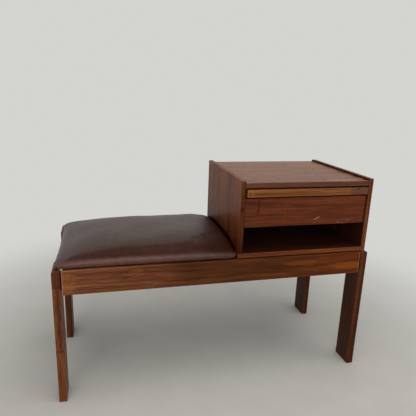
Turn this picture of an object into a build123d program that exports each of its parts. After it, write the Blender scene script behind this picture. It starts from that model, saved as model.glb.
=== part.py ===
from build123d import *

import os
from math import sqrt

# Telephone bench: a four-legged frame that carries an upholstered seat on one end and a small
# cabinet on the other. The cabinet has a pull-out writing slide, a drawer and an open compartment.
# Millimetres. The origin lies on the floor under the middle of the bench; +X points to the
# cabinet end, -Y to the front and +Z up.

# ---------------------------------------------------------------------- driving sizes: frame
bench_length = 1000.0  # over the outer faces of the legs
bench_depth = 432.0  # over the front and rear edges of the legs
frame_height = 428.0  # floor to the top of legs and rails
leg_thickness = 23.0
leg_width = 75.0
leg_top_radius = 8.0  # rounding of each leg's outer top corner
leg_edge_ease = 1.0
rail_height = 75.0
rail_thickness = 20.0
rail_end_gap = 4.0  # shadow gap between a rail's end and the leg
rail_edge_ease = 1.0
end_rail_thickness = 22.0
end_rail_height = 68.0
bearer_thickness = 20.0
end_bearer_width = 60.0
middle_bearer_width = 96.0
frame_dowel_diameter = 8.0
frame_dowel_length = 36.0
frame_dowel_in_rail = 12.0
end_rail_dowel_drops = (18.0, 50.0)  # below the top of the frame
bearer_dowel_spacing = 30.0
leg_screw_diameter = 4.5
leg_screw_length = 38.0
leg_screw_drops = (20.0, 50.0)  # below the top of the frame
leg_screw_setback = 54.0  # from the leg's outer edge at front or rear

# ---------------------------------------------------------------------- driving sizes: spacers
spacer_height = 4.5  # seat and cabinet stand this far above the frame
spacer_width = 14.0
spacer_setback = 16.0  # from the front and rear of what stands on it
spacer_inboard = 24.0  # from the meeting ends of seat and cabinet to the strip's middle
glide_diameter = 12.0
glide_setback = 11.0
glide_inboard = 25.0  # from the leg's outer face to the glide's centre
bearer_screw_diameter = 4.0
bearer_screw_length = 32.0
bearer_screw_spacing = 240.0

# ---------------------------------------------------------------------- driving sizes: seat
seat_end_inset = 12.5  # seat's outer end to the leg's outer face
seat_front_inset = 1.0
seat_depth = 400.0
seat_gap = 6.0  # to the side of the cabinet
seat_edge_height = 10.0
seat_swell = 42.5  # rise of the crown over the edge
seat_side_power = 0.43  # a lower power makes a fuller edge
seat_outer_power = 0.58
seat_inner_power = 0.30  # the end beside the cabinet
seat_corner_radius = 14.0
seat_side_pull = 1.5  # the long sides are drawn in this much between the corners
seat_tuck = 3.0  # the underside is drawn in this much
seat_shoulder = (8.0, 34.0)  # two places on the rolled edge, measured in from the side
seat_end_rise = 0.02  # share of the swell left at the very ends
seat_corner_slices = (0.0, 2.0, 7.0, 14.0)  # distances from the ends to the close slices
seat_wide_slices = (0.13, 0.26, 0.45, 0.7)  # shares of the half length to the wide slices
cover_thickness = 1.2
cover_flap = 75.0  # leather folded under the board
seat_board_thickness = 9.0
staple_crown = 10.0
staple_wire = 0.6
staple_leg = 6.0
staple_setback = 50.0
long_side_staple_count = 7
short_side_staple_count = 5

# ---------------------------------------------------------------------- driving sizes: cabinet
cabinet_width = 442.0
cabinet_inset = 13.5  # cabinet's side to the leg's outer face
cabinet_depth = 393.0
side_thickness = 14.5
side_corner_radius = 3.0
bottom_thickness = 13.5
top_thickness = 16.0
top_setback = 2.3
side_lip = 6.5  # the sides stand this far above the top board
back_thickness = 4.0
back_rebate = 7.0
compartment_height = 82.5
cabinet_dowel_diameter = 6.0
cabinet_dowel_length = 24.0
cabinet_dowel_in_bottom = 11.5
cabinet_dowel_in_side = 10.0
cabinet_dowel_setback = 45.0
cabinet_dowel_count = 3
back_pin_diameter = 1.6
back_pin_length = 12.0
back_pin_setback = 20.0
back_pin_count = 4

# ---------------------------------------------------------------------- driving sizes: drawer
drawer_front_height = 90.0
drawer_front_thickness = 14.0
drawer_recess = 5.5
drawer_side_gap = 2.0
drawer_length = 350.0
drawer_side_thickness = 11.0
drawer_side_height = 70.0
drawer_side_rise = 6.0  # from the front's lower edge to the sides' lower edge
drawer_front_lap = 6.0  # wood left in front of the drawer sides
drawer_back_thickness = 11.0
drawer_back_drop = 4.0
drawer_bottom_thickness = 4.0
drawer_bottom_rise = 8.0  # above the sides' lower edge
drawer_bottom_groove = 4.0
drawer_pin_diameter = 2.0
drawer_pin_length = 24.0
drawer_pin_margin = 9.0
drawer_bottom_pin_setback = 45.0
drawer_bottom_pin_count = 3
drawer_runner_height = 12.0
drawer_runner_reach = 6.0  # how far the runner enters the groove of the drawer side
drawer_runner_rise = 34.0  # above the sides' lower edge
running_clearance = 0.3
drawer_groove_floor_gap = 0.7

# ---------------------------------------------------------------------- driving sizes: writing slide
slide_gap_above = 5.0
slide_gap_below = 5.5
slide_gap_left = 5.5
slide_gap_right = 0.8
lip_height = 22.5
lip_thickness = 16.0
lip_groove = 6.0
slide_panel_thickness = 9.0
slide_panel_drop = 3.5  # below the top of the lip
slide_length = 300.0
slide_travel = 200.0
slide_runner_width = 12.0
slide_runner_height = 9.0
stop_rail_width = 16.0
stop_rail_setback = 24.0
stop_peg_diameter = 8.0
stop_peg_rise = 6.0
stop_peg_spacing = 240.0
runner_screw_diameter = 3.0
runner_screw_length = 18.0
runner_screw_setback = 30.0
runner_screw_count = 3

# ---------------------------------------------------------------------- planes worked out from these
front_y = -bench_depth / 2
back_y = bench_depth / 2
leg_inner_x = bench_length / 2 - leg_thickness
rail_end_x = leg_inner_x - rail_end_gap
end_rail_inner_x = leg_inner_x - end_rail_thickness
end_rail_mid_x = leg_inner_x - end_rail_thickness / 2
cross_front_y = front_y + rail_thickness
bearer_z = frame_height - bearer_thickness
base_z = frame_height + spacer_height

cabinet_right_x = bench_length / 2 - cabinet_inset
cabinet_left_x = cabinet_right_x - cabinet_width
inner_left_x = cabinet_left_x + side_thickness
inner_right_x = cabinet_right_x - side_thickness
cabinet_back_y = front_y + cabinet_depth
floor_z = base_z + bottom_thickness
drawer_z = floor_z + compartment_height
lip_z = drawer_z + drawer_front_height + slide_gap_below
lip_top_z = lip_z + lip_height
top_under_z = lip_top_z + slide_gap_above
top_z = top_under_z + top_thickness
cabinet_top_z = top_z + side_lip

seat_left_x = -bench_length / 2 + seat_end_inset
seat_right_x = cabinet_left_x - seat_gap
seat_mid_x = (seat_left_x + seat_right_x) / 2
seat_front_y = front_y + seat_front_inset
seat_back_y = seat_front_y + seat_depth
seat_mid_y = (seat_front_y + seat_back_y) / 2
seat_board_z = base_z + cover_thickness
seat_board_top_z = seat_board_z + seat_board_thickness

# The three bearers, and the spacer strips that stand on them.
end_bearer_x = end_rail_inner_x - end_bearer_width / 2
bearers = {
    "left": (-end_bearer_x, end_bearer_width),
    "middle": (cabinet_left_x - seat_gap / 2, middle_bearer_width),
    "right": (end_bearer_x, end_bearer_width),
}
seat_spacer_xs = {"left": -end_bearer_x, "right": seat_right_x - spacer_inboard}
cabinet_spacer_xs = {"left": cabinet_left_x + spacer_inboard, "right": end_bearer_x}

os.makedirs("parts", exist_ok=True)


def save(piece, name):
    """Label a finished piece and write it under its own name."""
    piece.label = name
    export_step(piece, f"parts/{name}.step")


def board(low, high, mode=Mode.ADD):
    """Add a square-edged board between two corners to the part being built, or cut its room."""
    middle = Vector(*low).add(Vector(*high)) / 2
    with Locations(middle):
        Box(*[end - start for start, end in zip(low, high)], mode=mode)


def cut_for(fastener, places):
    """Cut the holes of one kind of fastener into the part being built."""
    with Locations(*places):
        add(fastener, mode=Mode.SUBTRACT)


def spread(low, high, count):
    """Evenly spaced places between two ends, both ends included."""
    return [low + (high - low) * step / (count - 1) for step in range(count)]


# ---------------------------------------------------------------------- fasteners
# Each kind is made once at the origin, pointing up. Its list of places cuts the holes in the
# pieces that it joins and holds the solids themselves.
def wood_screw(diameter, length):
    """A countersunk wood screw: head's face at the origin, head twice as wide as the shank."""
    with BuildPart() as screw:
        with BuildSketch(Plane.XZ):
            with BuildLine():
                Polyline(
                    (0, 0),
                    (diameter, 0),
                    (diameter / 2, diameter / 2),
                    (diameter / 2, length - diameter),
                    (0, length),
                    close=True,
                )
            make_face()
        revolve(axis=Axis.Z)
    return screw.part


def round_pin(diameter, length):
    """A plain round dowel, peg or panel pin with one end at the origin."""
    with BuildPart() as pin:
        with BuildSketch():
            Circle(diameter / 2)
        extrude(amount=length)
    return pin.part


def wire_staple():
    """A staple with its crown's upper face at the origin and both legs pointing up."""
    leg_x = (staple_crown - staple_wire) / 2
    upward = (Align.CENTER, Align.CENTER, Align.MIN)
    with BuildPart() as wire:
        with Locations((0, 0, -staple_wire)):
            Box(staple_crown, 2 * staple_wire, staple_wire, align=upward)
        with Locations((-leg_x, 0, 0), (leg_x, 0, 0)):
            Box(staple_wire, 2 * staple_wire, staple_leg, align=upward)
    return wire.part


frame_dowel = round_pin(frame_dowel_diameter, frame_dowel_length)
leg_screw = wood_screw(leg_screw_diameter, leg_screw_length)
bearer_screw = wood_screw(bearer_screw_diameter, bearer_screw_length)
staple = wire_staple()
cabinet_dowel = round_pin(cabinet_dowel_diameter, cabinet_dowel_length)
back_pin = round_pin(back_pin_diameter, back_pin_length)
runner_screw = wood_screw(runner_screw_diameter, runner_screw_length)
drawer_pin = round_pin(drawer_pin_diameter, drawer_pin_length)
stop_peg = round_pin(stop_peg_diameter, slide_panel_thickness + stop_peg_rise)

# Turns that point an upright fastener the other ways.
to_left = (0, -90, 0)
to_right = (0, 90, 0)
to_back = (-90, 0, 0)
to_front = (90, 0, 0)

# Dowels through the backs of the long rails into the ends of end rails and bearers.
dowel_spots = [
    (side * end_rail_mid_x, frame_height - drop) for side in (-1, 1) for drop in end_rail_dowel_drops
]
dowel_spots += [
    (middle + side * bearer_dowel_spacing / 2, bearer_z + bearer_thickness / 2)
    for middle, width in bearers.values()
    for side in (-1, 1)
]
dowel_start_y = cross_front_y - frame_dowel_in_rail
frame_dowel_places = [Location((x, dowel_start_y, z), to_back) for x, z in dowel_spots]
frame_dowel_places += [Location((x, -dowel_start_y, z), to_front) for x, z in dowel_spots]

# Screws through the end rails into the legs, and up through bearers and spacers.
leg_screw_y = back_y - leg_screw_setback
leg_screw_places = [
    Location((side * end_rail_inner_x, end * leg_screw_y, frame_height - drop), turn)
    for side, turn in ((-1, to_left), (1, to_right))
    for end in (-1, 1)
    for drop in leg_screw_drops
]
seat_screw_places = [
    Location((x, seat_mid_y + end * bearer_screw_spacing / 2, bearer_z))
    for x in seat_spacer_xs.values()
    for end in (-1, 1)
]
cabinet_screw_places = [
    Location((x, front_y + cabinet_depth / 2 + end * bearer_screw_spacing / 2, bearer_z))
    for x in cabinet_spacer_xs.values()
    for end in (-1, 1)
]

# ---------------------------------------------------------------------- legs
# Four upright planks, narrow edge to the front, with the outer top corner rounded over.
with BuildPart() as right_leg:
    with BuildSketch():
        Rectangle(leg_thickness, leg_width, align=(Align.MAX, Align.MIN))
    extrude(amount=frame_height)
    outer_top = right_leg.edges().filter_by(Axis.Y).group_by(Axis.Z)[-1].sort_by(Axis.X)[-1]
    fillet(outer_top, leg_top_radius)
    chamfer(right_leg.edges().filter_by(Axis.Z), leg_edge_ease)

with BuildPart() as left_leg:
    mirror(right_leg.part, about=Plane.YZ)

for name, plank, x, y in (
    ("leg_front_left", left_leg.part, -bench_length / 2, front_y),
    ("leg_front_right", right_leg.part, bench_length / 2, front_y),
    ("leg_rear_left", left_leg.part, -bench_length / 2, back_y - leg_width),
    ("leg_rear_right", right_leg.part, bench_length / 2, back_y - leg_width),
):
    with BuildPart() as leg:
        with Locations((x, y, 0)):
            add(plank)
        cut_for(leg_screw, leg_screw_places)
    save(leg.part, name)

# ---------------------------------------------------------------------- long rails
# Solid rails between the legs at front and rear. The four outer edges are eased.
for name, inner_y, outer_y in (
    ("front_rail", cross_front_y, front_y),
    ("rear_rail", -cross_front_y, back_y),
):
    with BuildPart() as rail:
        board(
            (-rail_end_x, min(inner_y, outer_y), frame_height - rail_height),
            (rail_end_x, max(inner_y, outer_y), frame_height),
        )
        outer_face = rail.faces().filter_by_position(Axis.Y, outer_y, outer_y)
        chamfer(outer_face.edges(), rail_edge_ease)
        cut_for(frame_dowel, frame_dowel_places)
    save(rail.part, name)

# ---------------------------------------------------------------------- end rails
# Cross rails against the legs. They reach past the long rails' ends, which leaves a shadow gap.
for name, low_x in (("end_rail_left", -leg_inner_x), ("end_rail_right", end_rail_inner_x)):
    with BuildPart() as end_rail:
        board(
            (low_x, cross_front_y, frame_height - end_rail_height),
            (low_x + end_rail_thickness, -cross_front_y, frame_height),
        )
        cut_for(frame_dowel, frame_dowel_places)
        cut_for(leg_screw, leg_screw_places)
    save(end_rail.part, name)

# ---------------------------------------------------------------------- bearers
# Flat boards across the frame, flush with its top, that the seat and the cabinet are screwed to.
for where, (middle_x, width) in bearers.items():
    with BuildPart() as bearer:
        board(
            (middle_x - width / 2, cross_front_y, bearer_z),
            (middle_x + width / 2, -cross_front_y, frame_height),
        )
        cut_for(frame_dowel, frame_dowel_places)
        cut_for(bearer_screw, seat_screw_places + cabinet_screw_places)
    save(bearer.part, "bearer_" + where)

# ---------------------------------------------------------------------- spacer strips and glides
# Thin strips lift the seat and the cabinet off the frame. Two nylon glides carry the seat's outer
# corners where it passes over the legs.
for owner, spacer_xs, low_y, high_y in (
    ("seat_spacer_", seat_spacer_xs, seat_front_y, seat_back_y),
    ("cabinet_spacer_", cabinet_spacer_xs, front_y, cabinet_back_y),
):
    for where, x in spacer_xs.items():
        with BuildPart() as spacer:
            board(
                (x - spacer_width / 2, low_y + spacer_setback, frame_height),
                (x + spacer_width / 2, high_y - spacer_setback, base_z),
            )
            cut_for(bearer_screw, seat_screw_places + cabinet_screw_places)
        save(spacer.part, owner + where)

for name, y in (
    ("seat_glide_front", seat_front_y + glide_setback),
    ("seat_glide_rear", seat_back_y - glide_setback),
):
    with BuildPart() as glide:
        with BuildSketch(Plane.XY.offset(frame_height)):
            with Locations((-bench_length / 2 + glide_inboard, y)):
                Circle(glide_diameter / 2)
        extrude(amount=spacer_height)
    save(glide.part, name)

# ---------------------------------------------------------------------- frame fasteners
for name, fastener, places in (
    ("frame_dowels", frame_dowel, frame_dowel_places),
    ("leg_screws", leg_screw, leg_screw_places),
    ("seat_screws", bearer_screw, seat_screw_places),
    ("cabinet_screws", bearer_screw, cabinet_screw_places),
):
    with BuildPart() as fasteners:
        with Locations(*places):
            add(fastener)
    save(fasteners.part, name)


# ---------------------------------------------------------------------- seat
def swell(share, power):
    """Height of the pad, 1 at the middle and 0 at the edge: (1 - share^3) to the given power."""
    return max(1 - abs(share) ** 3, 0.0) ** power


def pad_form(inset):
    """The crowned pad, lofted from end to end and smaller by the inset all round.

    Each upright slice has a flat underside, a drawn-in foot, a rolled edge on two arcs and a
    crowned top on a third. Its height falls off towards the ends as the swell does, and the end
    slices are narrower, which rounds the pad's corners.
    """
    half_length = (seat_right_x - seat_left_x) / 2
    half_depth = seat_depth / 2
    radius = seat_corner_radius
    from_end = [distance / half_length for distance in seat_corner_slices] + list(seat_wide_slices)
    shares = [step - 1 for step in from_end] + [0.0] + [1 - step for step in reversed(from_end)]
    near, far = seat_shoulder
    foot_z = base_z + inset
    edge_z = base_z + seat_edge_height - inset
    with BuildPart() as form:
        for share in shares:
            distance = half_length * (1 - abs(share))
            corner = radius - sqrt(radius**2 - max(radius - distance, 0) ** 2)
            side = half_depth - inset - corner - seat_side_pull * (1 - share**2)
            front = seat_mid_y - side
            rear = seat_mid_y + side
            end_power = seat_outer_power if share < 0 else seat_inner_power
            rise = seat_swell * max(swell(share, end_power), seat_end_rise)
            near_z = edge_z + rise * swell(1 - near / half_depth, seat_side_power)
            far_z = edge_z + rise * swell(1 - far / half_depth, seat_side_power)
            slice_x = seat_mid_x + share * (half_length - inset)
            with BuildSketch(Plane.YZ.offset(slice_x)):
                with BuildLine():
                    Line((front + seat_tuck, foot_z), (rear - seat_tuck, foot_z))
                    Line((rear - seat_tuck, foot_z), (rear, edge_z))
                    ThreePointArc((rear, edge_z), (rear - near, near_z), (rear - far, far_z))
                    ThreePointArc((rear - far, far_z), (seat_mid_y, edge_z + rise), (front + far, far_z))
                    ThreePointArc((front + far, far_z), (front + near, near_z), (front, edge_z))
                    Line((front, edge_z), (front + seat_tuck, foot_z))
                make_face()
        loft()
    return form.part


outer_pad = pad_form(0.0)
inner_pad = pad_form(cover_thickness)

spacer_span = seat_spacer_xs["right"] - seat_spacer_xs["left"]
staple_places = [
    Location((seat_spacer_xs["left"] + spacer_span * (step + 0.5) / long_side_staple_count, y, base_z))
    for step in range(long_side_staple_count)
    for y in (seat_front_y + staple_setback, seat_back_y - staple_setback)
]
staple_places += [
    Location((x, seat_front_y + seat_depth * (step + 0.5) / short_side_staple_count, base_z), (0, 0, 90))
    for step in range(short_side_staple_count)
    for x in (seat_left_x + staple_setback, seat_right_x - staple_setback)
]

# Plywood board under the upholstery, with round corners.
end_inset = cover_thickness + seat_tuck
side_inset = end_inset + seat_side_pull
with BuildPart() as seat_board:
    board(
        (seat_left_x + end_inset, seat_front_y + side_inset, seat_board_z),
        (seat_right_x - end_inset, seat_back_y - side_inset, seat_board_top_z),
    )
    fillet(seat_board.edges().filter_by(Axis.Z), seat_corner_radius)
    cut_for(staple, staple_places)
    cut_for(bearer_screw, seat_screw_places)
save(seat_board.part, "seat_board")

# Foam that fills the cover above the board.
with BuildPart() as seat_foam:
    add(inner_pad)
    split(bisect_by=Plane.XY.offset(seat_board_top_z), keep=Keep.TOP)
save(seat_foam.part, "seat_foam")

# Leather cover: pulled over foam and board, folded under, and open in the middle of the underside.
with BuildPart() as seat_cover:
    add(outer_pad)
    add(inner_pad, mode=Mode.SUBTRACT)
    board(
        (seat_left_x + cover_flap, seat_front_y + cover_flap, base_z),
        (seat_right_x - cover_flap, seat_back_y - cover_flap, seat_board_z),
        mode=Mode.SUBTRACT,
    )
    cut_for(staple, staple_places)
    cut_for(bearer_screw, seat_screw_places)
save(seat_cover.part, "seat_cover")

with BuildPart() as seat_staples:
    with Locations(*staple_places):
        add(staple)
save(seat_staples.part, "seat_staples")

# ---------------------------------------------------------------------- places inside the cabinet
drawer_face_y = front_y + drawer_recess
drawer_inner_y = drawer_face_y + drawer_front_thickness
drawer_end_y = drawer_face_y + drawer_length
drawer_left_x = inner_left_x + drawer_side_gap
drawer_right_x = inner_right_x - drawer_side_gap
drawer_side_z = drawer_z + drawer_side_rise
drawer_side_top_z = drawer_side_z + drawer_side_height
drawer_runner_z = drawer_side_z + drawer_runner_rise
drawer_runner_top_z = drawer_runner_z + drawer_runner_height
drawer_runner_width = drawer_side_gap + drawer_runner_reach

panel_top_z = lip_top_z - slide_panel_drop
panel_z = panel_top_z - slide_panel_thickness
slide_runner_top_z = panel_z - running_clearance
slide_runner_z = slide_runner_top_z - slide_runner_height
kicker_z = panel_top_z + running_clearance
stop_rail_y = front_y + stop_rail_setback

# The strips on the sides: width, front end, lower and upper face. Their front ends stop the
# drawer and the writing slide when these are pushed home.
runner_end_y = cabinet_back_y - back_thickness - running_clearance
drawer_runner_y = drawer_inner_y + running_clearance
slide_runner_y = front_y + lip_thickness + running_clearance
strips = {
    "drawer_runner": (drawer_runner_width, drawer_runner_y, drawer_runner_z, drawer_runner_top_z),
    "slide_runner": (slide_runner_width, slide_runner_y, slide_runner_z, slide_runner_top_z),
    "slide_kicker": (slide_runner_width, slide_runner_y, kicker_z, top_under_z),
}

dowel_ys = spread(
    front_y + cabinet_dowel_setback, cabinet_back_y - cabinet_dowel_setback, cabinet_dowel_count
)
side_mid_xs = (cabinet_left_x + side_thickness / 2, cabinet_right_x - side_thickness / 2)
cabinet_dowel_places = [
    Location((x, y, floor_z - cabinet_dowel_in_bottom)) for x in side_mid_xs for y in dowel_ys
]
cabinet_dowel_places += [
    Location((x, y, top_z - top_thickness / 2), turn)
    for x, turn in (
        (inner_left_x - cabinet_dowel_in_side, to_right),
        (inner_right_x + cabinet_dowel_in_side, to_left),
    )
    for y in dowel_ys
]
back_pin_places = [
    Location((x, cabinet_back_y, z), to_front)
    for x in (inner_left_x - back_rebate / 2, inner_right_x + back_rebate / 2)
    for z in spread(floor_z + back_pin_setback, top_under_z - back_pin_setback, back_pin_count)
]
runner_screw_places = [
    Location((x, y, (low_z + high_z) / 2), turn)
    for width, low_y, low_z, high_z in strips.values()
    for x, turn in ((inner_left_x + width, to_left), (inner_right_x - width, to_right))
    for y in spread(
        low_y + runner_screw_setback, runner_end_y - runner_screw_setback, runner_screw_count
    )
]
stop_rail_screw_places = [
    Location((x, stop_rail_y + stop_rail_width / 2, kicker_z))
    for x in (
        inner_left_x + slide_runner_width + runner_screw_setback,
        inner_right_x - slide_runner_width - runner_screw_setback,
    )
]

# ---------------------------------------------------------------------- cabinet case
# Two side boards stand on the bottom board and hold the top board and the thin back between them.
for name, low_x, rebate_x in (
    ("cabinet_side_left", cabinet_left_x, inner_left_x - back_rebate),
    ("cabinet_side_right", inner_right_x, inner_right_x),
):
    with BuildPart() as side_board:
        board(
            (low_x, front_y, floor_z),
            (low_x + side_thickness, cabinet_back_y, cabinet_top_z),
        )
        top_ends = side_board.edges().filter_by(Axis.X).group_by(Axis.Z)[-1]
        fillet(top_ends, side_corner_radius)
        board(
            (rebate_x, cabinet_back_y - back_thickness, floor_z),
            (rebate_x + back_rebate, cabinet_back_y, top_under_z),
            mode=Mode.SUBTRACT,
        )
        cut_for(cabinet_dowel, cabinet_dowel_places)
        cut_for(back_pin, back_pin_places)
        cut_for(runner_screw, runner_screw_places)
    save(side_board.part, name)

with BuildPart() as cabinet_bottom:
    board(
        (cabinet_left_x, front_y, base_z),
        (cabinet_right_x, cabinet_back_y, floor_z),
    )
    cut_for(cabinet_dowel, cabinet_dowel_places)
    cut_for(bearer_screw, cabinet_screw_places)
save(cabinet_bottom.part, "cabinet_bottom")

with BuildPart() as cabinet_top:
    board(
        (inner_left_x, front_y + top_setback, top_under_z),
        (inner_right_x, cabinet_back_y, top_z),
    )
    cut_for(cabinet_dowel, cabinet_dowel_places)
    cut_for(runner_screw, stop_rail_screw_places)
save(cabinet_top.part, "cabinet_top")

with BuildPart() as cabinet_back:
    board(
        (inner_left_x - back_rebate, cabinet_back_y - back_thickness, floor_z),
        (inner_right_x + back_rebate, cabinet_back_y, top_under_z),
    )
    cut_for(back_pin, back_pin_places)
save(cabinet_back.part, "cabinet_back")

# ---------------------------------------------------------------------- runners in the cabinet
# The drawer hangs on one pair of strips. The writing slide runs on a second pair, and a third
# pair above it, under the top board, keeps it level when it is out.
for owner, (width, low_y, low_z, high_z) in strips.items():
    for where, low_x in (("_left", inner_left_x), ("_right", inner_right_x - width)):
        with BuildPart() as strip:
            board((low_x, low_y, low_z), (low_x + width, runner_end_y, high_z))
            cut_for(runner_screw, runner_screw_places)
        save(strip.part, owner + where)

with BuildPart() as slide_stop_rail:
    board(
        (inner_left_x + slide_runner_width, stop_rail_y, kicker_z),
        (inner_right_x - slide_runner_width, stop_rail_y + stop_rail_width, top_under_z),
    )
    cut_for(runner_screw, stop_rail_screw_places)
save(slide_stop_rail.part, "slide_stop_rail")

# ---------------------------------------------------------------------- cabinet fasteners
for name, fastener, places in (
    ("cabinet_dowels", cabinet_dowel, cabinet_dowel_places),
    ("back_pins", back_pin, back_pin_places),
    ("runner_screws", runner_screw, runner_screw_places + stop_rail_screw_places),
):
    with BuildPart() as fasteners:
        with Locations(*places):
            add(fastener)
    save(fasteners.part, name)

# ---------------------------------------------------------------------- drawer
# A box of a lapped front, two grooved sides, a back and a thin bottom. It has no handle: the
# front's lower edge is the pull.
lap_y = drawer_face_y + drawer_front_lap
box_left_x = drawer_left_x + drawer_side_thickness
box_right_x = drawer_right_x - drawer_side_thickness
drawer_back_y = drawer_end_y - drawer_back_thickness
drawer_bottom_z = drawer_side_z + drawer_bottom_rise
drawer_bottom_top_z = drawer_bottom_z + drawer_bottom_thickness
bottom_low = (box_left_x - drawer_bottom_groove, drawer_inner_y - drawer_bottom_groove, drawer_bottom_z)
bottom_high = (box_right_x + drawer_bottom_groove, drawer_end_y, drawer_bottom_top_z)

drawer_pin_places = [
    Location((x, y, z), turn)
    for x, turn in ((drawer_left_x, to_right), (drawer_right_x, to_left))
    for y in ((lap_y + drawer_inner_y) / 2, (drawer_back_y + drawer_end_y) / 2)
    for z in (drawer_bottom_top_z + drawer_pin_margin, drawer_side_top_z - drawer_pin_margin)
]
drawer_pin_places += [
    Location((x, (drawer_back_y + drawer_end_y) / 2, drawer_bottom_z))
    for x in spread(
        box_left_x + drawer_bottom_pin_setback,
        box_right_x - drawer_bottom_pin_setback,
        drawer_bottom_pin_count,
    )
]

with BuildPart() as drawer_front:
    board(
        (drawer_left_x, drawer_face_y, drawer_z),
        (drawer_right_x, drawer_inner_y, drawer_z + drawer_front_height),
    )
    for low_x in (drawer_left_x, box_right_x):
        board(
            (low_x, lap_y, drawer_side_z),
            (low_x + drawer_side_thickness, drawer_inner_y, drawer_side_top_z),
            mode=Mode.SUBTRACT,
        )
    board(bottom_low, bottom_high, mode=Mode.SUBTRACT)
    cut_for(drawer_pin, drawer_pin_places)
save(drawer_front.part, "drawer_front")

groove_depth = drawer_runner_reach + drawer_groove_floor_gap
for name, low_x, groove_x in (
    ("drawer_side_left", drawer_left_x, drawer_left_x),
    ("drawer_side_right", box_right_x, drawer_right_x - groove_depth),
):
    with BuildPart() as drawer_side:
        board(
            (low_x, lap_y, drawer_side_z),
            (low_x + drawer_side_thickness, drawer_end_y, drawer_side_top_z),
        )
        board(
            (groove_x, drawer_inner_y, drawer_runner_z - running_clearance),
            (groove_x + groove_depth, drawer_end_y, drawer_runner_top_z + running_clearance),
            mode=Mode.SUBTRACT,
        )
        board(bottom_low, bottom_high, mode=Mode.SUBTRACT)
        cut_for(drawer_pin, drawer_pin_places)
    save(drawer_side.part, name)

with BuildPart() as drawer_back:
    board(
        (box_left_x, drawer_back_y, drawer_bottom_top_z),
        (box_right_x, drawer_end_y, drawer_side_top_z - drawer_back_drop),
    )
    cut_for(drawer_pin, drawer_pin_places)
save(drawer_back.part, "drawer_back")

with BuildPart() as drawer_bottom:
    board(bottom_low, bottom_high)
    cut_for(drawer_pin, drawer_pin_places)
save(drawer_bottom.part, "drawer_bottom")

with BuildPart() as drawer_pins:
    with Locations(*drawer_pin_places):
        add(drawer_pin)
save(drawer_pins.part, "drawer_pins")

# ---------------------------------------------------------------------- writing slide
# A panel tongued into a deep front lip. Two pegs near its back meet the stop rail when it is out.
lip_left_x = inner_left_x + slide_gap_left
lip_right_x = inner_right_x - slide_gap_right
panel_low = (lip_left_x, front_y + lip_thickness - lip_groove, panel_z)
panel_high = (lip_right_x, front_y + slide_length, panel_top_z)
peg_y = stop_rail_y + stop_rail_width + slide_travel + running_clearance + stop_peg_diameter / 2
peg_places = [
    Location(((inner_left_x + inner_right_x + side * stop_peg_spacing) / 2, peg_y, panel_z))
    for side in (-1, 1)
]

with BuildPart() as slide_lip:
    board((lip_left_x, front_y, lip_z), (lip_right_x, front_y + lip_thickness, lip_top_z))
    board(panel_low, panel_high, mode=Mode.SUBTRACT)
save(slide_lip.part, "slide_lip")

with BuildPart() as slide_panel:
    board(panel_low, panel_high)
    cut_for(stop_peg, peg_places)
save(slide_panel.part, "slide_panel")

with BuildPart() as slide_stop_pegs:
    with Locations(*peg_places):
        add(stop_peg)
save(slide_stop_pegs.part, "slide_stop_pegs")
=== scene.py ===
from math import cos, pi, radians, sin

import bpy
import numpy as np
from mathutils import Matrix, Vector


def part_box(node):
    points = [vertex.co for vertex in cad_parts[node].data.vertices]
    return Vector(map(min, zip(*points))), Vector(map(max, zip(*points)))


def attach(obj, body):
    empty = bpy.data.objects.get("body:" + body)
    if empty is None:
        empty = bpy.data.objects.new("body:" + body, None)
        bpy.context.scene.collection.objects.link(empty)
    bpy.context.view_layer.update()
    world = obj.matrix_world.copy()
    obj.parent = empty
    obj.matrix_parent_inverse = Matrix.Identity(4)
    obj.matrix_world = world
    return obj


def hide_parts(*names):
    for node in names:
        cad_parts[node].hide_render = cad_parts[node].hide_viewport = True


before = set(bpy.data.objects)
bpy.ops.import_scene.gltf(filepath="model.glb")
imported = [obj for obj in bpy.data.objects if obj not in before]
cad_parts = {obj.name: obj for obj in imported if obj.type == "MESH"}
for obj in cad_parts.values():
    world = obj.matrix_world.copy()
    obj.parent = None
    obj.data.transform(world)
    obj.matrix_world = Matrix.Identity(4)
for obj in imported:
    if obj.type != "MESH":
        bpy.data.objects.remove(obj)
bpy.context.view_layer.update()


# ------------------------------------------------------------------------------ legs
# Four upright planks of red-brown hardwood, lacquered and rubbed down. Each stands narrow edge to
# the front, with eased edges and its outer top corner rounded over, and is screwed to an end rail.
# On every board the long edges turn on a radius of long_edge times its ease.
long_edge = 1.2


def outline(corners, radii, steps=5):
    """Points and outward normals round a square-cornered outline, taken anticlockwise.

    At each corner the outline turns on a quarter circle: its centre lies one radius back along
    the side that arrives and one radius on along the side that leaves.
    """
    corners = np.array(corners, float)
    arriving = corners - np.roll(corners, 1, axis=0)
    arriving /= np.linalg.norm(arriving, axis=1)[:, None]
    leaving = np.roll(arriving, -1, axis=0)
    radii = np.array(radii, float)[:, None]
    centres = corners + radii * (leaving - arriving)
    turn = np.linspace(0, pi / 2, steps)[None, :, None]
    before = np.stack([arriving[:, 1], -arriving[:, 0]], axis=1)[:, None, :]
    after = np.stack([leaving[:, 1], -leaving[:, 0]], axis=1)[:, None, :]
    normals = before * np.cos(turn) + after * np.sin(turn)
    normals /= np.linalg.norm(normals, axis=2)[:, :, None]
    points = centres[:, None, :] + radii[:, None, :] * normals
    return points.reshape(-1, 2), normals.reshape(-1, 2)


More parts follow.
